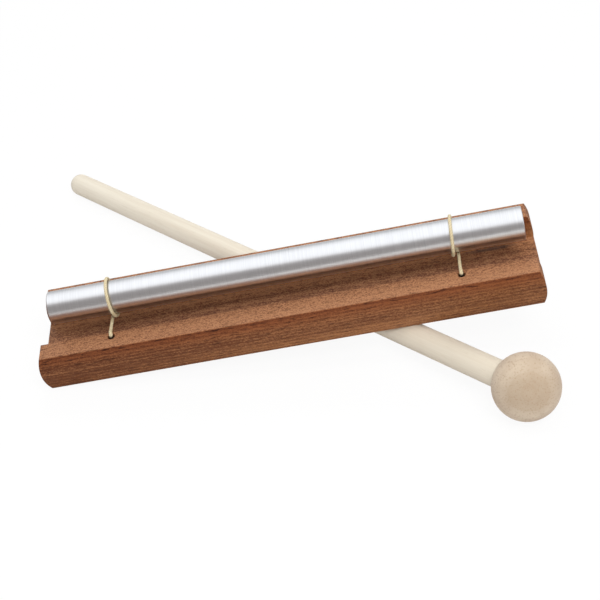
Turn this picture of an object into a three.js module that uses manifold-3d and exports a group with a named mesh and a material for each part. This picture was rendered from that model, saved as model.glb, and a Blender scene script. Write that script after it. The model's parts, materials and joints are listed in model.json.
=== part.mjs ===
// Single-rod energy chime leaning on its own mallet.
// A metal rod hangs on two cords over the channel of a wooden base, and the mallet's handle props the base.
// Millimetres. The chime is modelled level, X along the base, Y to the rear and Z up, with its origin in the
// middle of the underside. It is then leaned as it stands, with +Z square to the floor.
import * as THREE from 'three';
import { mergeVertices } from 'three/addons/utils/BufferGeometryUtils.js';
import Module from 'manifold-3d';

const wasm = await Module();
wasm.setup();

// Wooden base
const baseLength = 210; // along the strips
const undersideOverhang = 0.45; // how far the underside runs past the strips at each end
const baseHeight = 19;
const topWidth = 43; // from crease to crease
const undersideWidth = 41;
const sideBulge = 1.4; // swell of a long side beyond the straight line from crease to underside
const endBulge = 1.7; // the same for the two ends
const channelWidth = 25.4;
const channelDepth = 11.8;

// Metal rod
const rodDiameter = 14.2;
const rodEndMargin = 4.45; // from each end of the strips in to the rod's end, before the shift
const rodEndRadius = 0.5;
const rodShift = 1.8; // the rod lies a little to the right of the base's middle
const rodLift = 1.1; // from the flat strips beside the channel up to the rod's underside

// Cords, each with one turn round the rod
const cordDiameter = 1.4;
const cordGap = 0.3; // air between a cord and what it lies against
const cordEndInset = 31; // from an end of the strips to the cord's holes
const cordBend = 1.6; // radius of the cord's middle line where it bends over the rim of its hole
const turnPitch = 2.5; // how far one turn moves along the rod, towards its middle
const loopDrag = 0.3; // the rod, itself set to the right, has drawn both turns this far to the right of their holes
const cordHoleDiameter = 3;
const cordHoleInset = 2.3; // from the channel's wall to the middle of a hole

// Stop knots in pockets under the base
const knotDiameter = 5.4;
const knotHeight = 4.6;
const knotRounding = 1.6;
const knotClearance = 0.6; // all round a knot in its pocket
const knotSeatGap = 0.3; // between a knot and the roof of its pocket
const pocketDepth = 5.8;

// Mallet
const headDiameter = 28;
const handleTailDiameter = 10.6;
const handleHeadDiameter = 11.8;
const handleEndChamfer = 0.5;
const malletLength = 269; // from the middle of the tail's dome to the middle of the head
const headReach = 86; // from where the handle passes under the base's middle line to the middle of the head
const handleCrossing = 28.4; // where the handle passes under that line, to the right of the base's middle
const malletAngle = THREE.MathUtils.degToRad(43); // the head lies this far round from the right, to the front
const headBoreDepth = 16;
const headBoreClearance = 0.3;
const handleRestGap = 0.3; // between the handle and the base that rests on it

// Fineness of the faceted surfaces
const rodSides = 48;
const headSides = 40;
const handleSides = 32;
const knotSides = 16;
const holeSides = 24;
const cordSides = 8;
const cordSteps = 80;
const bulgeSteps = 12;
const headArcSteps = 18;
const tailArcSteps = 8;
const edgeArcSteps = 4;
const turnPoints = 24;
const bendPoints = 6;
const strandPoints = 6;
const gapSamples = 640; // points along a cord where its gap to itself is measured
const gapApart = 3; // stretches nearer than this many diameters along a cord count as the same one
const cutOvershoot = 1; // how far a cutter runs past the face that it opens
const mergeTolerance = 1e-4;

// Sizes that follow
const stripHeight = baseHeight;
const undersideLength = baseLength + 2 * undersideOverhang;
const rodRadius = rodDiameter / 2;
const rodLength = baseLength - 2 * rodEndMargin;
const cordSpacing = baseLength - 2 * cordEndInset;
const rodAxisHeight = stripHeight + rodLift + rodRadius;
const cordRadius = cordDiameter / 2;
const seatRadius = rodRadius + cordGap + cordRadius; // of the turn's middle line round the rod
const holeY = channelWidth / 2 + cordHoleInset;
const knotTop = pocketDepth - knotSeatGap;
const headRadius = headDiameter / 2;
const tailRadius = handleTailDiameter / 2;
const handleSlope = (handleHeadDiameter - handleTailDiameter) / 2 / malletLength;

// Profile points along an arc, ends included, as [across, along] pairs
function arcPoints(across, along, radius, fromAngle, toAngle, steps) {
  const points = [];
  for (let step = 0; step <= steps; step += 1) {
    const angle = THREE.MathUtils.lerp(fromAngle, toAngle, step / steps);
    points.push(new THREE.Vector2(across + radius * Math.cos(angle), along + radius * Math.sin(angle)));
  }
  return points;
}

function toSolid(geometry) {
  const bare = geometry.clone();
  bare.deleteAttribute('normal');
  bare.deleteAttribute('uv');
  const merged = mergeVertices(bare, mergeTolerance);
  return new wasm.Manifold(new wasm.Mesh({
    numProp: 3,
    vertProperties: new Float32Array(merged.attributes.position.array),
    triVerts: new Uint32Array(merged.index.array),
  }));
}

function toGeometry(solid) {
  const mesh = solid.getMesh();
  const geometry = new THREE.BufferGeometry();
  geometry.setAttribute('position', new THREE.BufferAttribute(mesh.vertProperties, 3));
  geometry.setIndex(new THREE.BufferAttribute(mesh.triVerts, 1));
  geometry.computeVertexNormals();
  return geometry;
}

function namedMesh(name, geometry, look) {
  const mesh = new THREE.Mesh(geometry, new THREE.MeshStandardMaterial(look));
  mesh.name = name;
  return mesh;
}

// Upright section through the base's block: flat top and underside, and two edges swelling as arcs of a circle
function blockSection(topSpan, undersideSpan, bulge) {
  const crease = new THREE.Vector2(topSpan / 2, stripHeight);
  const foot = new THREE.Vector2(undersideSpan / 2, 0);
  const chord = crease.clone().sub(foot);
  const halfChord = chord.length() / 2;
  const radius = (halfChord ** 2 + bulge ** 2) / (2 * bulge);
  const outward = new THREE.Vector2(chord.y, -chord.x).normalize();
  const centre = foot.clone().lerp(crease, 0.5).addScaledVector(outward, bulge - radius);
  const footAngle = Math.atan2(foot.y - centre.y, foot.x - centre.x);
  const creaseAngle = Math.atan2(crease.y - centre.y, crease.x - centre.x);
  const edge = arcPoints(centre.x, centre.y, radius, footAngle, creaseAngle, bulgeSteps);
  const mirrored = edge.map((point) => new THREE.Vector2(-point.x, point.y)).reverse();
  return new THREE.Shape([...edge, ...mirrored]);
}

// A section carried along Y for the given length, its own across and up becoming X and Z
function prismAlongY(section, length) {
  const prism = new THREE.ExtrudeGeometry(section, { depth: length, steps: 1, bevelEnabled: false });
  return prism.translate(0, 0, -length / 2).rotateX(Math.PI / 2);
}

// A cord hole with the wider pocket for its knot below, as one stepped cutter
function holeCutter() {
  const holeRadius = cordHoleDiameter / 2;
  const pocketRadius = knotDiameter / 2 + knotClearance;
  const profile = [
    new THREE.Vector2(0, -cutOvershoot),
    new THREE.Vector2(pocketRadius, -cutOvershoot),
    new THREE.Vector2(pocketRadius, pocketDepth),
    new THREE.Vector2(holeRadius, pocketDepth),
    new THREE.Vector2(holeRadius, stripHeight + cutOvershoot),
    new THREE.Vector2(0, stripHeight + cutOvershoot),
  ];
  return new THREE.LatheGeometry(profile, holeSides).rotateX(Math.PI / 2);
}

// The four holes, as [name, x, y]
function holePlaces() {
  const places = [];
  for (const [sideName, side] of [['left', -1], ['right', 1]]) {
    for (const [endName, end] of [['front', -1], ['rear', 1]]) {
      places.push([`${sideName}_${endName}`, side * cordSpacing / 2, end * holeY]);
    }
  }
  return places;
}

// The long sides and the ends swell alike, so the block is what two crossing prisms share
function buildBase() {
  const fullLength = undersideLength + 2 * (endBulge + cutOvershoot);
  const fullWidth = topWidth + 2 * (sideBulge + cutOvershoot);
  const acrossBase = prismAlongY(blockSection(topWidth, undersideWidth, sideBulge), fullLength).rotateZ(Math.PI / 2);
  const alongBase = prismAlongY(blockSection(baseLength, undersideLength, endBulge), fullWidth);
  const channelTop = stripHeight + cutOvershoot;
  const channelFloor = stripHeight - channelDepth;
  const channel = new THREE.BoxGeometry(fullLength, channelWidth, channelTop - channelFloor);
  channel.translate(0, 0, (channelTop + channelFloor) / 2);
  let solid = toSolid(acrossBase).intersect(toSolid(alongBase)).subtract(toSolid(channel));
  for (const [, x, y] of holePlaces()) {
    solid = solid.subtract(toSolid(holeCutter().translate(x, y, 0)));
  }
  return namedMesh('wooden_base', toGeometry(solid), { color: 0x8a5236, roughness: 0.6, metalness: 0 });
}

function buildRod() {
  const half = rodLength / 2;
  const rim = rodRadius - rodEndRadius;
  const quarter = Math.PI / 2;
  const profile = [
    new THREE.Vector2(0, -half),
    ...arcPoints(rim, rodEndRadius - half, rodEndRadius, -quarter, 0, edgeArcSteps),
    ...arcPoints(rim, half - rodEndRadius, rodEndRadius, 0, quarter, edgeArcSteps),
    new THREE.Vector2(0, half),
  ];
  const geometry = new THREE.LatheGeometry(profile, rodSides);
  const rod = namedMesh('chime_rod', geometry, { color: 0xc9cacc, roughness: 0.3, metalness: 1 });
  rod.rotation.z = -quarter;
  rod.position.set(rodShift, 0, rodAxisHeight);
  return rod;
}

// Points between two others, the first left out; a strand drifts sideways without a kink at either end
function strandRun(from, to, count) {
  const points = [];
  for (let step = 1; step <= count; step += 1) {
    const share = step / count;
    const point = from.clone().lerp(to, share);
    point.x = THREE.MathUtils.lerp(from.x, to.x, THREE.MathUtils.smoothstep(share, 0, 1));
    points.push(point);
  }
  return points;
}

// Middle line of a cord: up its front hole, over the rim, taut to the rod's underside, once round the rod
// by way of the rear, then the same in reverse to the rear hole
function cordRoute(side) {
  const holeX = side * cordSpacing / 2;
  const inward = -side;
  const bendCentre = new THREE.Vector2(cordBend - holeY, stripHeight + cordGap + cordRadius - cordBend);
  const apart = new THREE.Vector2(0, rodAxisHeight).sub(bendCentre);
  // The span is the straight line that runs over the bend and under the rod
  const spanAngle = Math.atan2(apart.y, apart.x) - Math.asin((cordBend + seatRadius) / apart.length());
  const quarter = Math.PI / 2;
  const bend = arcPoints(bendCentre.x, bendCentre.y, cordBend, Math.PI, quarter + spanAngle, bendPoints);
  const rise = bend.map((point) => new THREE.Vector3(holeX, point.x, point.y));
  const turn = [];
  for (let step = 0; step <= turnPoints; step += 1) {
    const share = step / turnPoints;
    const angle = THREE.MathUtils.lerp(spanAngle - quarter, 3 * quarter - spanAngle, share);
    const x = holeX + loopDrag + inward * turnPitch * share;
    turn.push(new THREE.Vector3(x, seatRadius * Math.cos(angle), rodAxisHeight + seatRadius * Math.sin(angle)));
  }
  const fall = rise.map((point) => new THREE.Vector3(point.x, -point.y, point.z)).reverse();
  const start = new THREE.Vector3(holeX, -holeY, pocketDepth);
  const finish = new THREE.Vector3(holeX, holeY, pocketDepth);
  return [
    start,
    ...strandRun(start, rise[0], strandPoints),
    ...rise.slice(1),
    ...strandRun(rise[rise.length - 1], turn[0], strandPoints),
    ...turn.slice(1),
    ...strandRun(turn[turn.length - 1], fall[0], strandPoints),
    ...fall.slice(1),
    ...strandRun(fall[fall.length - 1], finish, strandPoints),
  ];
}

// Least air between two stretches of a cord
function leastSelfGap(route) {
  const points = route.getSpacedPoints(gapSamples);
  const apart = Math.ceil(gapApart * cordDiameter * gapSamples / route.getLength());
  let least = Infinity;
  for (let first = 0; first < points.length; first += 1) {
    for (let second = first + apart; second < points.length; second += 1) {
      least = Math.min(least, points[first].distanceTo(points[second]));
    }
  }
  return least - cordDiameter;
}

function buildCord(name, side) {
  const route = new THREE.CatmullRomCurve3(cordRoute(side), false, 'centripetal');
  const ring = arcPoints(0, 0, cordRadius, 0, 2 * Math.PI, cordSides).slice(0, cordSides);
  const section = new THREE.Shape(ring);
  const geometry = new THREE.ExtrudeGeometry(section, { steps: cordSteps, extrudePath: route });
  const length = route.getLength().toFixed(1);
  const gap = leastSelfGap(route).toFixed(2);
  console.log(`${name}: length ${length} mm, least gap to itself ${gap} mm`);
  return namedMesh(name, geometry, { color: 0xd9cdb4, roughness: 0.8, metalness: 0 });
}

function buildKnot(name, x, y) {
  const rim = knotDiameter / 2 - knotRounding;
  const quarter = Math.PI / 2;
  const profile = [
    new THREE.Vector2(0, knotTop - knotHeight),
    ...arcPoints(rim, knotTop - knotHeight + knotRounding, knotRounding, -quarter, 0, edgeArcSteps),
    ...arcPoints(rim, knotTop - knotRounding, knotRounding, 0, quarter, edgeArcSteps),
    new THREE.Vector2(0, knotTop),
  ];
  const geometry = new THREE.LatheGeometry(profile, knotSides).rotateX(Math.PI / 2);
  const knot = namedMesh(name, geometry, { color: 0xd9cdb4, roughness: 0.8, metalness: 0 });
  knot.position.set(x, y, 0);
  return knot;
}

// The mallet's pieces lie along Y, with the middle of the tail's dome at the origin
function handleRadius(along) {
  return tailRadius + handleSlope * along;
}

function buildHandle() {
  const end = malletLength - headRadius + headBoreDepth - headBoreClearance;
  const profile = [
    ...arcPoints(0, 0, tailRadius, -Math.PI / 2, 0, tailArcSteps),
    new THREE.Vector2(handleRadius(end), end - handleEndChamfer),
    new THREE.Vector2(handleRadius(end) - handleEndChamfer, end),
    new THREE.Vector2(0, end),
  ];
  profile[0].x = 0;
  const geometry = new THREE.LatheGeometry(profile, handleSides);
  return namedMesh('mallet_handle', geometry, { color: 0xeadfc6, roughness: 0.55, metalness: 0 });
}

function buildHead() {
  const boreBottom = headBoreDepth - headRadius;
  const boreRadius = handleRadius(malletLength + boreBottom) + headBoreClearance;
  const mouthAngle = -Math.acos(boreRadius / headRadius);
  const profile = [
    new THREE.Vector2(0, boreBottom),
    new THREE.Vector2(boreRadius, boreBottom),
    ...arcPoints(0, 0, headRadius, mouthAngle, Math.PI / 2, headArcSteps),
  ];
  profile[profile.length - 1].x = 0;
  const geometry = new THREE.LatheGeometry(profile, headSides);
  const head = namedMesh('mallet_head', geometry, { color: 0xd9b898, roughness: 0.5, metalness: 0 });
  head.position.y = malletLength;
  return head;
}

// The handle's upper side runs level just under the base, so its axis falls by the taper towards the head
function buildMallet() {
  const fall = Math.atan(handleSlope);
  const axis = new THREE.Vector3(
    Math.cos(malletAngle) * Math.cos(fall),
    -Math.sin(malletAngle) * Math.cos(fall),
    -Math.sin(fall),
  );
  const tailReach = malletLength - headReach;
  const tail = new THREE.Vector3(handleCrossing, 0, 0).addScaledVector(axis, -tailReach);
  tail.z = -handleRestGap - tailRadius / Math.cos(fall);
  const mallet = new THREE.Group();
  mallet.add(buildHandle(), buildHead());
  mallet.position.copy(tail);
  mallet.quaternion.setFromUnitVectors(new THREE.Vector3(0, 1, 0), axis);
  return { mallet, tail, head: tail.clone().addScaledVector(axis, malletLength) };
}

// Normal of the floor that carries the base's left front corner, the mallet's head and its tail
function floorNormal(head, tail) {
  const corner = new THREE.Vector3(-undersideLength / 2, -undersideWidth / 2, 0);
  const toHead = head.clone().sub(corner);
  const toTail = tail.clone().sub(corner);
  const overlap = toHead.dot(toTail);
  const spread = toHead.lengthSq() * toTail.lengthSq() - overlap ** 2;
  const headShare = (headRadius * toTail.lengthSq() - tailRadius * overlap) / spread;
  const tailShare = (tailRadius * toHead.lengthSq() - headRadius * overlap) / spread;
  const inPlane = toHead.clone().multiplyScalar(headShare).addScaledVector(toTail, tailShare);
  const square = new THREE.Vector3().crossVectors(toHead, toTail).normalize();
  const rest = Math.sqrt(1 - inPlane.lengthSq());
  return inPlane.addScaledVector(square, Math.sign(square.z) * rest);
}

// Turns the level chime so that the floor's normal becomes +Z, with X still along the base in plan
function leanOn(group, normal) {
  const along = new THREE.Vector3(1, 0, 0).projectOnPlane(normal).normalize();
  const across = new THREE.Vector3().crossVectors(normal, along);
  const turn = new THREE.Matrix4().makeBasis(along, across, normal).invert();
  group.quaternion.setFromRotationMatrix(turn);
}

function buildChime() {
  const { mallet, tail, head } = buildMallet();
  const leaning = new THREE.Group();
  leaning.add(buildBase(), buildRod(), buildCord('left_cord', -1), buildCord('right_cord', 1), mallet);
  for (const [place, x, y] of holePlaces()) {
    leaning.add(buildKnot(`${place}_knot`, x, y));
  }
  leanOn(leaning, floorNormal(head, tail));
  const box = new THREE.Box3().setFromObject(leaning, true);
  const middle = box.getCenter(new THREE.Vector3());
  leaning.position.set(-middle.x, -middle.y, -box.min.z);
  const chime = new THREE.Group();
  chime.add(leaning);
  return chime;
}

export default buildChime();
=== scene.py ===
import json
import math

import bmesh
import bpy
import numpy as np
from mathutils import Matrix, Vector


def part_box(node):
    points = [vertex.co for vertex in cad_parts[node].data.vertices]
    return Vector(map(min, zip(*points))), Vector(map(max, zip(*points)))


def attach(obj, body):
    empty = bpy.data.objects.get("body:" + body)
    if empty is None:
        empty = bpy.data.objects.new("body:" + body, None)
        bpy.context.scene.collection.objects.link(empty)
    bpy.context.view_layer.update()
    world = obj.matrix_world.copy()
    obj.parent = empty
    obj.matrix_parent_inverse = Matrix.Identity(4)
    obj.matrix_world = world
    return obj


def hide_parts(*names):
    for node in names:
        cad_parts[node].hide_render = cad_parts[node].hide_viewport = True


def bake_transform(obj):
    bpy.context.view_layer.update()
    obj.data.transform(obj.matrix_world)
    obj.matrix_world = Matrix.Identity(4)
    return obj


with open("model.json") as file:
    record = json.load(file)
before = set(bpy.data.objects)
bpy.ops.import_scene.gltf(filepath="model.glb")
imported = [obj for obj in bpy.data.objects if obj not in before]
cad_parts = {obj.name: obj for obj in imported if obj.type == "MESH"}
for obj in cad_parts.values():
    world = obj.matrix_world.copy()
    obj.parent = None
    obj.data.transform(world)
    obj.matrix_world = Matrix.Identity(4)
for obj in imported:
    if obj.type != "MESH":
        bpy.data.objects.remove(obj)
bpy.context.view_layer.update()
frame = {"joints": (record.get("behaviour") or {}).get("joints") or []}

mm = 0.001
plainWhite = (1, 1, 1, 1)


# Where the level chime and the mallet lie in the row frame

def unit(vector):
    vector = np.asarray(vector, float)
    return vector / np.linalg.norm(vector, axis=-1, keepdims=True)


joints = {joint["name"]: joint for joint in frame["joints"]}
alongBase = unit(joints["rod_slide"]["axis"])  # the chime's own X, along the base
upFromBase = unit(joints["rod_bounce"]["axis"])  # its own Z, square to the strips
chimeAxes = np.array([alongBase, np.cross(upFromBase, alongBase), upFromBase])
alongMallet = unit(joints["mallet_draw"]["axis"])  # from the tail to the head
besideMallet = unit(np.cross(alongMallet, upFromBase))
malletAxes = np.array([besideMallet, np.cross(alongMallet, besideMallet), alongMallet])

# millimetres: the rod's middle along the base and over its underside, and the ball's from the tail's
places = {"rodShift": 1.8, "rodHeight": 27.2, "malletReach": 269}
rodMiddle = np.array(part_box("chime_rod")).mean(0)
chimeOrigin = rodMiddle - mm * (places["rodShift"] * alongBase + places["rodHeight"] * upFromBase)
headMiddle = np.array(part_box("mallet_head")).mean(0)
tailMiddle = headMiddle - mm * places["malletReach"] * alongMallet


def onChime(points):  # chime millimetres to row metres
    return chimeOrigin + mm * np.asarray(points, float) @ chimeAxes


def onMallet(points):  # mallet millimetres, measured from the tail's middle, to row metres
    return tailMiddle + mm * np.asarray(points, float) @ malletAxes


# Camera

photoView = {
    "stand": (71.54, -432.30, 412.37), "aim": (6.92, -13.35, 19.0), "roll": -16.07,  # on the level chime
    "focalPixels": 1400, "framePixels": 600, "sensorWidth": 36, "nearest": 0.01,
}


def addCamera():  # looks from its stand to its aim, level with the base, and is then rolled
    lens = bpy.data.cameras.new("photo_camera")
    lens.sensor_width = photoView["sensorWidth"]
    lens.lens = lens.sensor_width * photoView["focalPixels"] / photoView["framePixels"]
    lens.clip_start = photoView["nearest"]
    stand = onChime(photoView["stand"])
    forward = unit(onChime(photoView["aim"]) - stand)
    level = unit(np.cross(forward, upFromBase))
    overhead = np.cross(level, forward)
    roll = math.radians(photoView["roll"])
    right = math.cos(roll) * level + math.sin(roll) * overhead
    turn = np.eye(4)
    turn[:3, 0] = right
    turn[:3, 1] = np.cross(right, forward)
    turn[:3, 2] = -forward
    turn[:3, 3] = stand
    camera = bpy.data.objects.new("photo_camera", lens)
    camera.matrix_world = Matrix(turn.tolist())
    bpy.context.collection.objects.link(camera)
    bpy.context.scene.camera = camera
    print("camera stands at", np.round(stand, 3))


# Meshes from arrays

def addPiece(name, points, faces):
    mesh = bpy.data.meshes.new(name)
    mesh.from_pydata(points.tolist(), [], faces)
    shell = bmesh.new()
    shell.from_mesh(mesh)
    bmesh.ops.recalc_face_normals(shell, faces=shell.faces)
    shell.to_mesh(mesh)
    shell.free()
    mesh.update()
    piece = bpy.data.objects.new(name, mesh)
    bpy.context.collection.objects.link(piece)
    return piece


def shadeSmooth(piece, sharpAngle):  # smooth faces, with edges steeper than the angle left sharp
    piece.data.shade_smooth()
    piece.data.set_sharp_from_angle(angle=math.radians(sharpAngle))


def finishPiece(piece, material, nodes, body):  # a strand names no nodes and no body of its own
    piece.data.materials.append(material)
    if nodes:
        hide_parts(*nodes)
    if body:
        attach(piece, body)


def gridQuads(rows, columns):  # quads between neighbouring rows, with the last column joined to the first
    row, column = np.meshgrid(np.arange(rows - 1), np.arange(columns), indexing="ij")
    across = (column + 1) % columns
    corners = [row * columns + column, row * columns + across,
               (row + 1) * columns + across, (row + 1) * columns + column]
    return np.stack(corners, -1).reshape(-1, 4)


def roundAngles(facets):  # evenly spaced angles once round, the last short of the first
    return np.linspace(0, 2 * np.pi, facets, endpoint=False)


def arc(across, along, radius, fromAngle, toAngle, steps):  # points on an arc, ends included
    angle = np.linspace(fromAngle, toAngle, steps + 1)
    return np.stack([across + radius * np.cos(angle), along + radius * np.sin(angle)], -1)


def turned(profile, facets):
    # a profile of radius and height turned about an axis: (r cos a, r sin a, h)
    # its first and last points lie on the axis and become single points
    profile = np.asarray(profile, float)
    angle = roundAngles(facets)
    rings = profile[1:-1]
    wall = np.stack([rings[:, :1] * np.cos(angle), rings[:, :1] * np.sin(angle),
                     np.repeat(rings[:, 1:], facets, 1)], -1).reshape(-1, 3)
    poles = [[0, 0, profile[0, 1]], [0, 0, profile[-1, 1]]]
    points = np.vstack([wall, poles])
    around = np.arange(facets)
    following = (around + 1) % facets
    last = (len(rings) - 1) * facets
    bottom = np.stack([np.full(facets, len(wall)), following, around], -1)
    top = np.stack([np.full(facets, len(wall) + 1), last + around, last + following], -1)
    return points, gridQuads(len(rings), facets).tolist() + bottom.tolist() + top.tolist()


def tubeGrid(path, tangent, radius, reference):
    # a ring about each path point: p + r (n cos a + b sin a)
    # b is the reference direction made square to the path, and n is square to both
    beside = unit(reference - (tangent @ reference)[:, None] * tangent)
    outward = np.cross(beside, tangent)
    angle = roundAngles(radius.shape[1])[:, None]
    ring = outward[:, None] * np.cos(angle) + beside[:, None] * np.sin(angle)
    return path[:, None] + radius[..., None] * ring


# Shader maths

class Wire:  # a socket that takes part in Python expressions
    def __init__(self, nodes, socket):
        self.nodes = nodes
        self.socket = socket

    def maths(self, operation, first, second=0.0):
        return self.nodes.add("ShaderNodeMath", {"operation": operation}, {0: first, 1: second})

    def __add__(self, other):
        return self.maths("ADD", self, other)

    def __sub__(self, other):
        return self.maths("SUBTRACT", self, other)

    def __rsub__(self, other):
        return self.maths("SUBTRACT", other, self)

    def __mul__(self, other):
        return self.maths("MULTIPLY", self, other)

    def __pow__(self, other):
        return self.maths("POWER", self, other)

    def __abs__(self):
        return self.maths("ABSOLUTE", self)

    __radd__ = __add__
    __rmul__ = __mul__


class Nodes:  # a node tree, with one method that adds any node and a few that add common ones
    def __init__(self, owner):
        owner.use_nodes = True
        self.tree = owner.node_tree
        self.tree.nodes.clear()

    def add(self, kind, settings=None, sockets=None, output=0):
        node = self.tree.nodes.new(kind)
        for name, value in (settings or {}).items():
            setattr(node, name, value)
        for name, value in (sockets or {}).items():
            if isinstance(value, Wire):
                self.tree.links.new(value.socket, node.inputs[name])
            else:
                node.inputs[name].default_value = value
        return Wire(self, node.outputs[output]) if node.outputs else node

    def place(self, axes, origin):  # Object coordinates in metres, turned onto the piece's own axes
        turn = Matrix(axes.tolist())
        sockets = {"Vector": self.add("ShaderNodeTexCoord", output="Object"),
                   "Location": -(turn @ Vector(origin)), "Rotation": turn.to_euler()}
        return self.add("ShaderNodeMapping", {}, sockets)

    def vector(self, operation, first, second, output="Vector"):
        return self.add("ShaderNodeVectorMath", {"operation": operation}, {0: first, 1: second}, output)

    def part(self, vector, letter):  # one part of a vector
        return self.add("ShaderNodeSeparateXYZ", {}, {"Vector": vector}, output=letter)

    def joined(self, parts):  # numbers as the named parts of a vector
        return self.add("ShaderNodeCombineXYZ", {}, parts)

    def ray(self, kind):
        return self.add("ShaderNodeLightPath", output=f"Is {kind} Ray")

    def number(self, name):  # a number kept on the mesh
        return self.add("ShaderNodeAttribute", {"attribute_name": name}, output="Fac")

    def noise(self, where, scale, detail=2.0, roughness=0.5, distortion=0.0):
        sockets = {"Vector": self.vector("MULTIPLY", where, scale), "Scale": 1.0, "Detail": detail,
                   "Roughness": roughness, "Distortion": distortion}
        return self.add("ShaderNodeTexNoise", {}, sockets)

    def between(self, value, low, high):  # 0 below low, 1 above high, smooth in between
        sockets = {"Value": value, "From Min": low, "From Max": high}
        return self.add("ShaderNodeMapRange", {"interpolation_type": "SMOOTHSTEP"}, sockets)

    def mix(self, factor, first, second, blend="MIX"):
        settings = {"data_type": "RGBA", "blend_type": blend}
        return self.add("ShaderNodeMix", settings, {0: factor, 6: first, 7: second}, output=2)

    def bump(self, height, depth):
        return self.add("ShaderNodeBump", {}, {"Height": height, "Distance": depth})

    def surface(self, sockets):
        return self.add("ShaderNodeBsdfPrincipled", {}, sockets)

    def finish(self, kind, shader):  # kind is Material or World
        self.add(f"ShaderNodeOutput{kind}", {}, {"Surface": shader})


def newMaterial(name):
    material = bpy.data.materials.new(name)
    return material, Nodes(material)


def fromAxis(across, over):  # distance from an axis, from two wires square to it and to each other
    return (across * across + over * over) ** 0.5


def keepNumbers(piece, name, values):  # one number for each point, for a material to read
    layer = piece.data.attributes.new(name, "FLOAT", "POINT")
    layer.data.foreach_set("value", np.asarray(values, np.float32).ravel())


def paint(red, green, blue):  # a colour given in 8-bit display values, as the linear one that shaders take
    share = np.array([red, green, blue]) / 255
    linear = np.where(share <= 0.04045, share / 12.92, ((share + 0.055) / 1.055) ** 2.4)
    return (*linear.tolist(), 1.0)


# Wooden base

base = {  # millimetres
    "length": 210, "undersideLength": 210.9, "endBulge": 1.7, "height": 19,
    "topWidth": 43, "undersideWidth": 41, "sideBulge": 1.4,
    "channelWidth": 25.4, "channelDepth": 11.8, "levelsUnderFloor": 8, "levelsOverFloor": 12,
    "easedEdge": 0.2, "easedAngle": 25, "sharpAngle": 15,
    "holeSpacing": 148, "holeWidth": 3, "holeInset": 2.3, "holeFlare": 0.3,
    "pocketWidth": 6.6, "pocketDepth": 5.8, "cutPast": 1, "holeFacets": 40,
}
holeX = base["holeSpacing"] / 2
holeY = base["channelWidth"] / 2 + base["holeInset"]  # from the middle line to the cord holes
baseWood = {
    "light": paint(177, 125, 88), "dark": paint(106, 64, 44), "pore": paint(54, 28, 18),
    "bands": {"scale": (4, 90, 90), "detail": 3, "roughness": 0.55, "distortion": 0.4},
    "fibres": {"scale": (300, 2000, 2000), "detail": 2, "roughness": 0.6},
    "specks": {"scale": (1500, 2300, 2300), "detail": 1},
    "pores": {"scale": (210, 1500, 1500), "detail": 1}, "poreRange": (0.6, 0.72),
    # shares of the tone on the strips, and what the sides, calmer in their specks, add to each
    "bandShare": (0.24, 0.1), "speckShare": (0.47, -0.2), "fibreShare": (0.27, -0.07),
    "ringShare": 0.05, "sideShare": 0.063, "toneRange": (0.4, 0.63),
    "poreTint": 0.4, "creaseShadePores": 0.35, "sideRange": (0.5, 0.75),
    # painted shade on the sides: what their colour is multiplied by at the crease, darkest there, and at the
    # foot, with the range in shares of the height
    "creaseShade": (0.58, 0.37, 0.24, 1), "footTint": (1.0, 0.94, 0.79, 1), "creaseRange": (0.45, 0.97),
    "pith": (-24, -46), "ringSpacing": 1.9, "ringSway": 3.0,  # growth rings, millimetres across and up
    # a mineral streak in the channel, millimetres
    "streak": paint(66, 56, 56), "streakMiddle": (88, 9.6, 7), "streakReach": (14, 1.7, 2.5),
    "streakFray": 0.9, "streakRange": (0.7, 1.5), "streakTint": 0.7,
    "roughness": 0.34, "fibreRoughness": 0.14, "poreRoughness": 0.18, "specular": 0.22,
    "fibreRelief": 0.5, "relief": 0.00007,
}


def growthRings(across, height, sway):  # rings about a pith that lies outside the section, 0 to 1
    besidePith = across - baseWood["pith"][0] * mm
    overPith = height - baseWood["pith"][1] * mm
    fromPith = fromAxis(besidePith, overPith) + sway * (baseWood["ringSway"] * mm)
    turns = fromPith * (2 * math.pi / (baseWood["ringSpacing"] * mm))
    return 0.5 + 0.5 * turns.maths("SINE", turns)


def mineralStreak(wood, where, fibres):  # 1 inside a long narrow blob with frayed ends
    reach = 1 / (mm * np.array(baseWood["streakReach"]))
    middle = mm * reach * baseWood["streakMiddle"]
    away = wood.vector("DISTANCE", wood.vector("MULTIPLY", where, reach), middle, "Value")
    return 1 - wood.between(away + fibres * baseWood["streakFray"], *baseWood["streakRange"])


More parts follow.
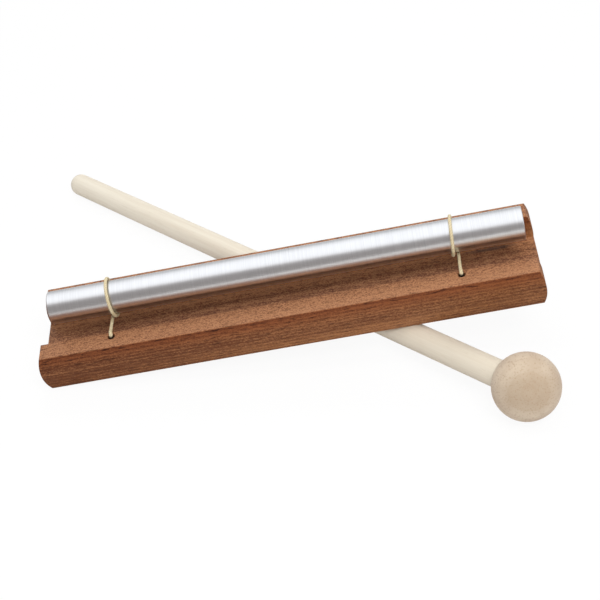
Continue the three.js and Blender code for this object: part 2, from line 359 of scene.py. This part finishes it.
def makeBaseWood():
    # open-pored red-brown hardwood with its grain along the base; the sides carry painted shade, darker than
    # the sawn strips and darkest under the crease
    material, wood = newMaterial("oiled_hardwood")
    look = baseWood
    where = wood.place(chimeAxes, chimeOrigin)
    across = wood.part(where, "Y")
    height = wood.part(where, "Z")
    facing = wood.add("ShaderNodeTexCoord", output="Normal")
    onSide = wood.between(abs(wood.vector("DOT_PRODUCT", facing, chimeAxes[1], "Value")), *look["sideRange"])
    nearCrease = wood.between(height, *(mm * base["height"] * np.array(look["creaseRange"])))
    bands = wood.noise(where, **look["bands"])
    fibres = wood.noise(where, **look["fibres"])
    specks = wood.noise(where, **look["specks"])
    pores = wood.between(wood.noise(where, **look["pores"]), *look["poreRange"])
    tone = growthRings(across, height, bands) * look["ringShare"] + onSide * look["sideShare"]
    shares = [(bands, look["bandShare"]), (specks, look["speckShare"]), (fibres, look["fibreShare"])]
    for pattern, (onStrip, sideMore) in shares:
        tone = tone + pattern * (onStrip + onSide * sideMore)
    colour = wood.mix(wood.between(tone, *look["toneRange"]), look["dark"], look["light"])
    # painted shade: the pores on the sides are darker near the crease
    poreTint = look["poreTint"] + onSide * nearCrease * look["creaseShadePores"]
    colour = wood.mix(pores * poreTint, colour, look["pore"])
    colour = wood.mix(mineralStreak(wood, where, fibres) * look["streakTint"], colour, look["streak"])
    # painted shade on the sides, darkest under the crease and fading towards the foot
    sideShade = wood.mix(nearCrease, look["footTint"], look["creaseShade"])
    sockets = {
        "Base Color": wood.mix(onSide, colour, sideShade, "MULTIPLY"),
        "Roughness": look["roughness"] + fibres * look["fibreRoughness"] + pores * look["poreRoughness"],
        "Specular IOR Level": look["specular"],
        "Normal": wood.bump(fibres * look["fibreRelief"] - pores, look["relief"]),
    }
    wood.finish("Material", wood.surface(sockets))
    return material


def swelling(topSpan, undersideSpan, bulge, heights):
    # half a span at each height: an arc from the underside up to the strips
    # it swells past the straight line between them by the bulge
    crease = np.array([topSpan / 2, base["height"]])
    foot = np.array([undersideSpan / 2, 0])
    chord = crease - foot
    radius = (chord @ chord / 4 + bulge ** 2) / (2 * bulge)
    middle = (crease + foot) / 2 + unit([chord[1], -chord[0]]) * (bulge - radius)
    return middle[0] + np.sqrt(radius ** 2 - (heights - middle[1]) ** 2)


def baseShell():
    # the outline of the section, carried to the swelling end at each height
    # the ends are strips of faces between neighbouring heights
    floor = base["height"] - base["channelDepth"]
    under = base["levelsUnderFloor"]
    heights = np.concatenate([np.linspace(0, floor, under + 1),
                              np.linspace(floor, base["height"], base["levelsOverFloor"] + 1)[1:]])
    sides = swelling(base["topWidth"], base["undersideWidth"], base["sideBulge"], heights)
    ends = swelling(base["length"], base["undersideLength"], base["endBulge"], heights)
    levels = len(heights)
    wall = np.full(levels - under, base["channelWidth"] / 2)
    upAndDown = np.concatenate([np.arange(levels), np.arange(under, levels)[::-1]])
    level = np.concatenate([upAndDown, upAndDown[::-1]])  # rear side, rear wall, front wall, front side
    across = np.concatenate([sides, wall, -wall, -sides[::-1]])
    halves = [np.column_stack([end * ends[level], across, heights[level]]) for end in (-1, 1)]
    count = len(level)
    faces = gridQuads(2, count).tolist()
    rearSide = np.arange(levels)
    rearWall = 2 * levels - 1 - np.arange(levels)
    frontSide = count - 1 - rearSide
    frontWall = count - 1 - rearWall
    for first in (0, count):
        for low in range(levels - 1):
            high = low + 1
            if low >= under:
                strips = [[frontSide[low], frontWall[low], frontWall[high], frontSide[high]],
                          [rearWall[low], rearSide[low], rearSide[high], rearWall[high]]]
            elif high == under:
                strips = [[frontSide[low], rearSide[low], rearSide[high],
                           rearWall[high], frontWall[high], frontSide[high]]]
            else:
                strips = [[frontSide[low], rearSide[low], rearSide[high], frontSide[high]]]
            faces += [[int(first + corner) for corner in strip] for strip in strips]
    return np.vstack(halves), faces


def holePlaces():  # left front, left rear, right front, right rear
    return [(side * holeX, end * holeY) for side in (-1, 1) for end in (-1, 1)]


def holeCutter(x, y):  # stepped plug: pocket, hole, and a flare at the strip
    hole = base["holeWidth"] / 2
    pocket = base["pocketWidth"] / 2
    roof = base["pocketDepth"]
    flare = base["holeFlare"]
    top = base["height"]
    past = base["cutPast"]
    profile = [[0, -past], [pocket + flare + past, -past], [pocket, flare], [pocket, roof],
               [hole, roof], [hole, top - flare], [hole + flare + past, top + past], [0, top + past]]
    points, faces = turned(profile, base["holeFacets"])
    return addPiece("hole_cutter", onChime(points + [x, y, 0]), faces)


def addBase(material):
    # the shell with its edges eased and the four cord holes cut through
    points, faces = baseShell()
    piece = addPiece("chime_base", onChime(points), faces)
    ease = piece.modifiers.new("ease", "BEVEL")
    ease.width = base["easedEdge"] * mm
    ease.segments = 1
    ease.limit_method = "ANGLE"
    ease.angle_limit = math.radians(base["easedAngle"])
    cutters = [holeCutter(x, y) for x, y in holePlaces()]
    for cutter in cutters:
        cut = piece.modifiers.new("hole", "BOOLEAN")
        cut.operation = "DIFFERENCE"
        cut.solver = "EXACT"
        cut.object = cutter
    shaped = piece.evaluated_get(bpy.context.evaluated_depsgraph_get())
    finished = bpy.data.meshes.new_from_object(shaped)
    piece.modifiers.clear()
    piece.data = finished
    for cutter in cutters:
        bpy.data.objects.remove(cutter)
    shadeSmooth(piece, base["sharpAngle"])
    finishPiece(piece, material, ["wooden_base"], "base")
    print("base has", len(finished.polygons), "faces")


# Rod

rod = {  # millimetres; a hair under the solid, whose facets lie inside the round
    "width": 14.16, "length": 201.1, "endRadius": 0.5, "facets": 160, "endRings": 8, "sharpAngle": 30,
}
rodMetal = {
    "dull": paint(200, 200, 203), "bright": paint(240, 240, 241),
    "rings": {"scale": (2600, 30, 30), "detail": 2, "roughness": 0.6},
    "haze": {"scale": (30, 160, 160), "detail": 3},
    "marks": {"scale": (2400, 1, 1), "detail": 2, "roughness": 0.6},
    "ringShare": 0.9, "hazeShare": 0.2,
    "roughness": 0.23, "ringRoughness": 0.03, "hazeRoughness": 0.05, "markRoughness": 0.04,
    "markRelief": 4, "relief": 0.000001,
}


def makeRodMetal():  # satin aluminium, with fine rings round it and turning marks on its ends
    material, metal = newMaterial("satin_aluminium")
    look = rodMetal
    where = metal.place(chimeAxes, rodMiddle)
    outward = metal.joined({"X": fromAxis(metal.part(where, "Y"), metal.part(where, "Z"))})
    rings = metal.noise(where, **look["rings"])
    haze = metal.noise(where, **look["haze"])
    marks = metal.noise(outward, **look["marks"])
    tone = rings * look["ringShare"] + haze * look["hazeShare"]
    streaks = rings * look["ringRoughness"] + haze * look["hazeRoughness"] + marks * look["markRoughness"]
    sockets = {
        "Base Color": metal.mix(tone, look["dull"], look["bright"]),
        "Metallic": 1.0, "Roughness": look["roughness"] + streaks,
        "Normal": metal.bump(rings + marks * look["markRelief"], look["relief"]),
    }
    metal.finish("Material", metal.surface(sockets))
    return material


def addRod(material):
    # a round-cornered bar turned about its axis, then laid along the base
    half = rod["length"] / 2
    radius = rod["width"] / 2
    corner = rod["endRadius"]
    rings = rod["endRings"]
    lower = arc(radius - corner, corner - half, corner, -np.pi / 2, 0, rings)
    upper = arc(radius - corner, half - corner, corner, 0, np.pi / 2, rings)
    points, faces = turned(np.vstack([[[0, -half]], lower, upper, [[0, half]]]), rod["facets"])
    lengthwise = points[:, [2, 0, 1]] + [places["rodShift"], 0, places["rodHeight"]]
    piece = addPiece("hanging_rod", onChime(lengthwise), faces)
    shadeSmooth(piece, rod["sharpAngle"])
    finishPiece(piece, material, ["chime_rod"], "rod")
    print("rod hangs", round(places["rodHeight"] - radius - base["height"], 2), "mm over the strips")


# Cords and knots

cord = {  # millimetres
    "width": 1.4, "gap": 0.3, "bend": 1.6, "pitch": 2.5, "drag": 0.3, "seat": 8.1, "tailEnd": 0.8,
    "step": 0.22, "facets": 24, "plies": 3, "layLength": 3.2, "plyDepth": 0.2, "sharpAngle": 60,
    # frayed at the holes, and painted with shade where it goes down into them
    "swell": 0.25, "swellReach": 1.2, "holeShadeStart": 0.7, "holeShadeReach": 0.7, "holeShadeSide": 1,
    "blendEnd": 0.5,  # a point this near the middle line is worked out for each strand but not used
}
knot = {"reach": 1.3, "sway": 0.62, "rise": 1.5, "middle": 3.2, "steps": 220, "facets": 16}  # millimetres
knotNames = ["left_front_knot", "left_rear_knot", "right_front_knot", "right_rear_knot"]
cordWax = {
    "light": paint(234, 222, 190), "dark": paint(204, 184, 138),
    "valley": paint(140, 116, 74), "holeShade": paint(40, 26, 18),
    "fibres": {"scale": (9, 0.6, 1)}, "stains": {"scale": (0.3, 0.16, 1)},
    "fibreShare": 0.6, "stainShare": 0.4, "toneRange": (0.3, 0.7), "valleyShade": 0.6, "valleyPower": 3,
    "roughness": 0.45, "fibreRoughness": 0.25, "coat": 0.15, "coatRoughness": 0.4, "relief": 0.00003,
}


def makeCordWax():  # cream twisted cord: painted shade darkens the valleys between the plies and the cord inside its holes, fibres run with the lay
    material, wax = newMaterial("waxed_cord")
    look = cordWax
    strand = wax.joined({"X": wax.number("plyLay"), "Y": wax.number("cordRun")})
    fibres = wax.noise(strand, **look["fibres"])
    stains = wax.noise(strand, **look["stains"])
    tone = wax.between(fibres * look["fibreShare"] + stains * look["stainShare"], *look["toneRange"])
    colour = wax.mix(tone, look["dark"], look["light"])
    # painted shade in the valleys between the plies
    colour = wax.mix(wax.number("plyValley") * look["valleyShade"], colour, look["valley"])
    sockets = {
        # painted shade where the cord goes down into its hole
        "Base Color": wax.mix(wax.number("inHole"), colour, look["holeShade"]),
        "Roughness": look["roughness"] + fibres * look["fibreRoughness"],
        "Coat Weight": look["coat"], "Coat Roughness": look["coatRoughness"],
        "Normal": wax.bump(fibres, look["relief"]),
    }
    wax.finish("Material", wax.surface(sockets))
    return material


def run(first, last):  # straight points at the cord's step, the first left out
    first = np.asarray(first, float)
    last = np.asarray(last, float)
    count = max(2, int(np.linalg.norm(last - first) / cord["step"]))
    return first + np.linspace(0, 1, count + 1)[1:, None] * (last - first)


def cordRoute(side):
    # up the front hole, over its rim, straight to the rod's underside and once round the rod
    # then the same to the rear; also the rows where the turn begins and ends
    seat = cord["seat"]
    bend = cord["bend"]
    tailEnd = [-holeY, cord["tailEnd"]]
    bendMiddle = np.array([bend - holeY, base["height"] + cord["gap"] + cord["width"] / 2 - bend])
    apart = np.array([0, places["rodHeight"]]) - bendMiddle
    span = math.atan2(apart[1], apart[0]) - math.asin((bend + seat) / np.linalg.norm(apart))
    over = arc(*bendMiddle, bend, np.pi, np.pi / 2 + span, int(bend * np.pi / 2 / cord["step"]))
    turns = int(2 * np.pi * seat / cord["step"])
    loop = arc(0, places["rodHeight"], seat, span - np.pi / 2, 1.5 * np.pi - span, turns)
    front = np.vstack([[tailEnd], run(tailEnd, over[0]), over[1:]])
    straight = run(over[-1], loop[0])
    mirror = [-1, 1]
    rear = [(straight * mirror)[::-1][1:], (front * mirror)[::-1]]
    flat = np.vstack([front, straight, loop[1:], *rear])
    rimRow = len(front) - 1
    turnStart = rimRow + len(straight)
    turnEnd = len(flat) - 1 - turnStart
    ease = np.linspace(0, 1, len(straight) + 1)
    ease = ease * ease * (3 - 2 * ease)  # a strand eases sideways between its hole and its turn
    begin = cord["drag"]
    end = cord["drag"] - side * cord["pitch"]
    shift = np.zeros(len(flat))
    shift[rimRow:turnStart + 1] = begin * ease
    shift[turnStart:turnEnd + 1] = np.linspace(begin, end, turnEnd + 1 - turnStart)
    shift[turnEnd:turnEnd + len(ease)] = end * ease[::-1]
    return np.column_stack([side * holeX + shift, flat]), turnStart, turnEnd


def twist(along, facets):
    # plies twisted together: the radius dips between them and the dips wind along the cord
    lay = roundAngles(facets) - 2 * np.pi * along[:, None] / cord["layLength"]
    valley = 1 - np.abs(np.cos(lay * cord["plies"] / 2))
    return lay, valley, cord["width"] / 2 * (1 - cord["plyDepth"] * valley ** 2)


def keepPlies(piece, along, lay, valley, inHole):  # the numbers that the cord's finish reads
    keepNumbers(piece, "plyValley", valley ** cordWax["valleyPower"])
    keepNumbers(piece, "inHole", inHole)
    keepNumbers(piece, "plyLay", lay)
    keepNumbers(piece, "cordRun", np.repeat(along[:, None], lay.shape[1], 1))


def tubePiece(name, grid):  # rings of points as a tube with a face at each end
    rows, columns = grid.shape[:2]
    faces = gridQuads(rows, columns).tolist()
    faces += [list(range(columns)), list(range((rows - 1) * columns, rows * columns))]
    return addPiece(name, onChime(grid.reshape(-1, 3)), faces)


def addCord(name, side, material):
    # three pieces on one route: a loop that gives with the rod, and a strand down to each hole
    route, turnStart, turnEnd = cordRoute(side)
    along = np.concatenate([[0], np.cumsum(np.linalg.norm(np.diff(route, axis=0), axis=1))])
    lay, valley, radius = twist(along, cord["facets"])
    swell = cord["swell"] * np.exp(-((np.abs(route[:, 1:2]) - holeY) / cord["swellReach"]) ** 2)
    grid = tubeGrid(route, unit(np.gradient(route, axis=0)), radius * (1 + swell), np.array([1.0, 0, 0]))
    # painted shade: how far down inside its hole each point lies
    overHole = np.clip(np.abs(grid[..., 1]) - holeY + cord["holeShadeSide"], 0, 1)
    belowRim = np.clip((base["height"] + cord["holeShadeStart"] - grid[..., 2]) / cord["holeShadeReach"], 0, 1)
    inHole = overHole * belowRim
    stretches = {"front": slice(0, turnStart + 1), "loop": slice(turnStart, turnEnd + 1),
                 "rear": slice(turnEnd, None)}
    for stretch, rows in stretches.items():
        piece = tubePiece(f"{name}_{stretch}", grid[rows])
        keepPlies(piece, along[rows], lay[rows], valley[rows], inHole[rows])
        shadeSmooth(piece, cord["sharpAngle"])
        if stretch == "loop":
            finishPiece(piece, material, [name], "cords")
        else:
            # a strand belongs to no body and its transform is baked into its points; where it meets the hole
            # edge and the middle line is worked out but not used
            finishPiece(piece, material, [], None)
            end = -1 if stretch == "front" else 1
            edge = onChime([side * holeX, end * base["channelWidth"] / 2, base["height"]])
            under = onChime([side * holeX, end * cord["blendEnd"], base["height"]])
            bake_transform(piece)
    print(name, "is", round(along[-1], 1), "mm long")


def addKnot(name, x, y, material):
    # a trefoil drawn tight: radius reach + sway cos 3t at twice the angle t, rising and falling as sin 3t
    turn = roundAngles(knot["steps"])
    spread = knot["reach"] + knot["sway"] * np.cos(3 * turn)
    rise = knot["rise"] * np.sin(3 * turn)
    path = np.column_stack([spread * np.cos(2 * turn), spread * np.sin(2 * turn), rise])
    tangent = unit(np.roll(path, -1, 0) - np.roll(path, 1, 0))
    along = turn * 2 * knot["reach"]
    lay, valley, radius = twist(along, knot["facets"])
    points = tubeGrid(path, tangent, radius, np.array([0, 0, 1.0])) + [x, y, knot["middle"]]
    quads = gridQuads(knot["steps"] + 1, knot["facets"]) % (knot["steps"] * knot["facets"])
    piece = addPiece(f"{name}_tied", onChime(points.reshape(-1, 3)), quads.tolist())
    keepPlies(piece, along, lay, valley, np.zeros_like(valley))
    shadeSmooth(piece, cord["sharpAngle"])
    finishPiece(piece, material, [name], "base")
    print(name, "is tied")


# Mallet

mallet = {  # millimetres; a hair under the solids, whose facets lie inside the round
    "headWidth": 27.88, "tailWidth": 10.56, "neckWidth": 11.76, "endEase": 0.5,
    "boreDepth": 16, "boreGap": 0.3, "mouthEase": 0.5,
    "facets": 96, "tailRings": 24, "headRings": 48, "sharpAngle": 30,
}
handleWood = {
    "light": paint(235, 227, 211), "dark": paint(222, 211, 192), "fleck": paint(186, 168, 140),
    "bands": {"scale": (160, 160, 7), "detail": 3, "roughness": 0.55, "distortion": 0.5},
    "fibres": {"scale": (1900, 1900, 60)},
    "flecks": {"scale": (1500, 1500, 260), "detail": 1}, "fleckRange": (0.64, 0.74), "fleckTint": 0.12,
    "bandShare": 0.7, "fibreShare": 0.3, "toneRange": (0.3, 0.7),
    # painted shade: darker towards the head, where the base shades the handle; metres from the tail
    "handleShade": paint(206, 195, 176), "handleShadeRange": (0.11, 0.19), "handleShadeShare": 0.35,
    "roughness": 0.48, "fibreRoughness": 0.14, "specular": 0.25, "sheen": 0.1, "relief": 0.00002,
}
headWood = {
    "light": paint(211, 194, 172), "dark": paint(199, 179, 156), "fleck": paint(172, 144, 116),
    "mottle": {"scale": (90, 90, 40), "detail": 3}, "mottleRange": (0.3, 0.7),
    "flecks": {"scale": (1500, 1500, 500), "detail": 2}, "fleckRange": (0.52, 0.7), "fleckTint": 0.5,
    # end grain shows to the front and is darker than the sides; metres from the pith
    "grain": (-0.06, -0.84, 0.54), "endGrain": paint(160, 138, 114), "endGrainRange": (0.005, 0.0145),
    "endGrainTint": 0.5,
    "ring": paint(168, 138, 108), "ringSpacing": 0.0047, "ringTint": 0.13,
    "ringStart": 0.45, "ringPeak": 0.95,  # shares of the spacing
    "warp": {"scale": (130, 130, 60)}, "warpReach": 0.0026,
    "roughness": 0.46, "mottleRoughness": 0.12, "specular": 0.2, "sheen": 0.15,
    "ringRelief": 0.5, "relief": 0.00002,
}


def makeHandleWood():  # pale birch dowel, faint grain along it
    material, wood = newMaterial("pale_birch")
    look = handleWood
    where = wood.place(malletAxes, tailMiddle)
    bands = wood.noise(where, **look["bands"])
    fibres = wood.noise(where, **look["fibres"])
    flecks = wood.between(wood.noise(where, **look["flecks"]), *look["fleckRange"])
    tone = wood.between(bands * look["bandShare"] + fibres * look["fibreShare"], *look["toneRange"])
    colour = wood.mix(tone, look["dark"], look["light"])
    # painted shade on the handle towards the head
    nearHead = wood.between(wood.part(where, "Z"), *look["handleShadeRange"])
    colour = wood.mix(nearHead * look["handleShadeShare"], colour, look["handleShade"])
    sockets = {
        "Base Color": wood.mix(flecks * look["fleckTint"], colour, look["fleck"]),
        "Roughness": look["roughness"] + fibres * look["fibreRoughness"],
        "Specular IOR Level": look["specular"], "Sheen Weight": look["sheen"],
        "Normal": wood.bump(fibres - flecks, look["relief"]),
    }
    wood.finish("Material", wood.surface(sockets))
    return material


def makeHeadWood():  # turned ball with growth rings round its grain direction
    material, wood = newMaterial("turned_beech")
    look = headWood
    ends = unit(look["grain"])
    beside = unit(np.cross(ends, (0, 0, 1)))
    where = wood.place(np.array([beside, np.cross(ends, beside), ends]), headMiddle)
    warp = wood.noise(where, **look["warp"])
    fromPith = fromAxis(wood.part(where, "X"), wood.part(where, "Y")) + warp * look["warpReach"]
    turns = fromPith * (1 / look["ringSpacing"])
    ring = turns.maths("FRACT", turns)
    late = wood.between(ring, look["ringStart"], look["ringPeak"]) - wood.between(ring, look["ringPeak"], 1.0)
    flecks = wood.between(wood.noise(where, **look["flecks"]), *look["fleckRange"])
    mottle = wood.noise(where, **look["mottle"])
    colour = wood.mix(wood.between(mottle, *look["mottleRange"]), look["dark"], look["light"])
    endGrain = 1 - wood.between(fromPith, *look["endGrainRange"])
    colour = wood.mix(endGrain * look["endGrainTint"], colour, look["endGrain"])
    colour = wood.mix(late * look["ringTint"], colour, look["ring"])
    sockets = {
        "Base Color": wood.mix(flecks * look["fleckTint"], colour, look["fleck"]),
        "Roughness": look["roughness"] + mottle * look["mottleRoughness"],
        "Specular IOR Level": look["specular"], "Sheen Weight": look["sheen"],
        "Normal": wood.bump(late * look["ringRelief"] - flecks, look["relief"]),
    }
    wood.finish("Material", wood.surface(sockets))
    return material


def handleRadius(along):  # an even taper from the tail to the ball's middle
    slope = (mallet["neckWidth"] - mallet["tailWidth"]) / 2 / places["malletReach"]
    return mallet["tailWidth"] / 2 + slope * along


def addHandle(material):
    # a taper turned about the mallet's axis, with a half-ball tail
    end = places["malletReach"] - mallet["headWidth"] / 2 + mallet["boreDepth"] - mallet["boreGap"]
    neck = handleRadius(end)
    ease = mallet["endEase"]
    dome = arc(0, 0, mallet["tailWidth"] / 2, -np.pi / 2, 0, mallet["tailRings"])
    inBore = [[neck, end - ease], [neck - ease, end], [0, end]]
    points, faces = turned(np.vstack([dome, inBore]), mallet["facets"])
    piece = addPiece("mallet_stick", onMallet(points), faces)
    shadeSmooth(piece, mallet["sharpAngle"])
    finishPiece(piece, material, ["mallet_handle"], "mallet")
    print("handle reaches", round(mallet["boreDepth"] - mallet["boreGap"], 1), "mm into the ball")


def addHead(material):
    # a ball turned about the mallet's axis, with an eased blind bore for the handle
    radius = mallet["headWidth"] / 2
    boreEnd = mallet["boreDepth"] - radius
    bore = handleRadius(places["malletReach"] + boreEnd) + mallet["boreGap"]
    ease = mallet["mouthEase"]
    mouth = -math.acos((bore + ease) / radius)
    ball = arc(0, 0, radius, mouth, np.pi / 2, mallet["headRings"])
    inner = [[0, boreEnd], [bore, boreEnd], [bore, radius * math.sin(mouth) + ease]]
    points, faces = turned(np.vstack([inner, ball]), mallet["facets"])
    piece = addPiece("mallet_ball", onMallet(points + [0, 0, places["malletReach"]]), faces)
    shadeSmooth(piece, mallet["sharpAngle"])
    finishPiece(piece, material, ["mallet_head"], "mallet")
    overAll = places["malletReach"] + (mallet["headWidth"] + mallet["tailWidth"]) / 2
    print("mallet is", round(overAll, 1), "mm long")


# Floor and light

studio = {  # metres
    "floorSize": 3.0, "floorRoughness": 0.9, "whiteShare": 0.93,
    "floorSeen": paint(250, 250, 250), "floorBounce": paint(242, 242, 242),
    # what the metal mirrors of the table: painted shadow and warm bounce light from the wood beside the base
    "floorMirrored": paint(220, 219, 216), "paintedShadeBeside": paint(134, 94, 74), "besideRange": (0.07, 0.16),
    # and of the sky: its strength and tint low in front, behind and overhead
    "skyFront": 0.35, "skyRear": 0.6, "skyOver": 1.4, "overRange": (0, 0.95),
    "frontTint": (1, 0.94, 0.92, 1), "overTint": (0.96, 0.98, 1, 1),
    "behindTilt": (0.7, 0.9), "behindRange": (-0.1, 0.35),
    "skyLight": 0.46,
}
softboxes = [
    {"name": "front_softbox", "width": 0.36, "depth": 0.36, "power": 3.9, "stand": (0.2, -0.53, 0.72)},
    {"name": "overhead_softbox", "width": 1.0, "depth": 0.2, "power": 2.1, "stand": (0.002, -0.13, 0.95)},
    {"name": "rear_softbox", "width": 0.3, "depth": 0.3, "power": 1.5, "stand": (-0.05, 0.52, 0.62)},
]


def addFloor():
    # white to the camera apart from a faint shadow, greyer in the metal and to the light it throws back, with
    # painted shadow and warm bounce light beside the base in the metal
    half = studio["floorSize"] / 2
    corners = np.array([[-half, -half, 0], [half, -half, 0], [half, half, 0], [-half, half, 0]])
    floor = addPiece("table", corners, [[0, 1, 2, 3]])
    material, table = newMaterial("white_table")
    seen = table.ray("Camera")
    # painted shadow and bounce light beside the base, seen only in reflections
    fromBase = abs(table.part(table.place(chimeAxes, chimeOrigin), "Y"))
    away = table.between(fromBase, *studio["besideRange"])
    mirrored = table.mix(away, studio["paintedShadeBeside"], studio["floorMirrored"])
    unseen = table.mix(table.ray("Glossy"), studio["floorBounce"], mirrored)
    colour = table.mix(seen, unseen, studio["floorSeen"])
    paper = table.surface({"Base Color": colour, "Roughness": studio["floorRoughness"]})
    glow = table.add("ShaderNodeEmission", {}, {"Color": plainWhite, "Strength": 1.0})
    sockets = {0: seen * studio["whiteShare"], 1: paper, 2: glow}
    table.finish("Material", table.add("ShaderNodeMixShader", {}, sockets))
    floor.data.materials.append(material)
    print("table is", studio["floorSize"], "m wide")


def addSky():  # even for soft light; the metal mirrors white overhead and behind, and dim grey low in front
    world = bpy.data.worlds.new("studio")
    bpy.context.scene.world = world
    sky = Nodes(world)
    toward = sky.add("ShaderNodeTexCoord", output="Generated")
    height = sky.part(toward, "Z")
    tiltX, tiltY = studio["behindTilt"]
    tilted = height + sky.part(toward, "Y") * tiltY + sky.part(toward, "X") * tiltX
    behind = sky.between(tilted, *studio["behindRange"])
    over = sky.between(height, *studio["overRange"])
    bright = studio["skyRear"] + over * (studio["skyOver"] - studio["skyRear"])
    mirrored = studio["skyFront"] * (1 - behind) + behind * bright
    seen = sky.ray("Camera")
    glossy = sky.ray("Glossy")
    strength = glossy * mirrored + seen + (1 - glossy) * (1 - seen) * studio["skyLight"]
    tint = sky.mix(glossy, plainWhite, sky.mix(behind, studio["frontTint"], studio["overTint"]))
    sky.finish("World", sky.add("ShaderNodeBackground", {}, {"Color": tint, "Strength": strength}))
    print("sky lights at", studio["skyLight"])


def addSoftbox(box):  # aimed at the middle of the base
    lamp = bpy.data.lights.new(box["name"], "AREA")
    lamp.shape = "RECTANGLE"
    lamp.size = box["width"]
    lamp.size_y = box["depth"]
    lamp.energy = box["power"]
    light = bpy.data.objects.new(box["name"], lamp)
    light.location = box["stand"]
    light.visible_glossy = False  # the metal mirrors no lamp
    light.rotation_euler = (Vector(chimeOrigin) - light.location).to_track_quat("-Z", "Y").to_euler()
    bpy.context.collection.objects.link(light)
    print(box["name"], "gives", box["power"], "W")


addCamera()
bpy.context.scene.view_settings.view_transform = "Standard"
waxedCord = makeCordWax()
addCord("left_cord", -1, waxedCord)
addCord("right_cord", 1, waxedCord)
for knotName, (knotX, knotY) in zip(knotNames, holePlaces()):
    addKnot(knotName, knotX, knotY, waxedCord)
addBase(makeBaseWood())
addRod(makeRodMetal())
addHandle(makeHandleWood())
addHead(makeHeadWood())
addFloor()
addSky()
for softbox in softboxes:
    addSoftbox(softbox)
